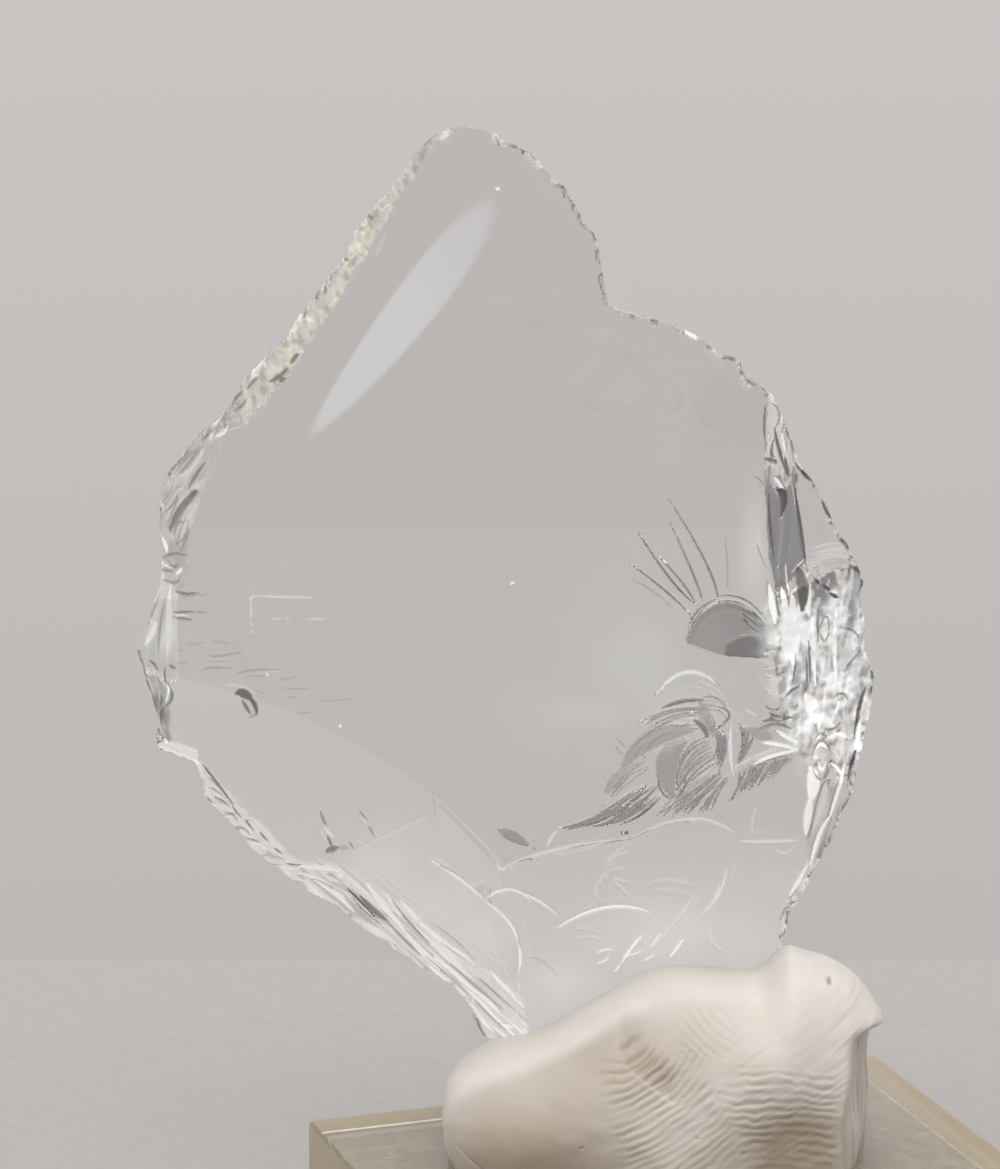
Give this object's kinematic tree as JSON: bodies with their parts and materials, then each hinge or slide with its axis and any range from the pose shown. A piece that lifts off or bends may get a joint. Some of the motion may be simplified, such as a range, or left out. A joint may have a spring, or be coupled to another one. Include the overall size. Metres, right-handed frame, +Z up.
{
  "type": "andara crystal on a display block",
  "caption": "Clear glass-like crystal flake with conchoidal fracture faces, held upright in a lump of putty on a small square clear acrylic block.",
  "frame": {"origin": "middle of the acrylic block's underside, the face that the piece stands on", "axes": "+Z up; +X and +Y along the block's edges, with the crystal standing towards +Y and its broad face turned 19 degrees clockwise from +X"},
  "size_m": [0.0482, 0.0429, 0.0664],
  "materials": {
    "crystal": "clear and glossy, frosted along its crushed edges",
    "putty": "matt cream modelling putty with pressed ridges",
    "acrylic": "clear acrylic, slightly yellowed, polished edges"
  },
  "bodies": {
    "root": {"crystal": "crystal", "putty": "putty", "acrylic_block": "acrylic"}
  },
  "joints": []
}
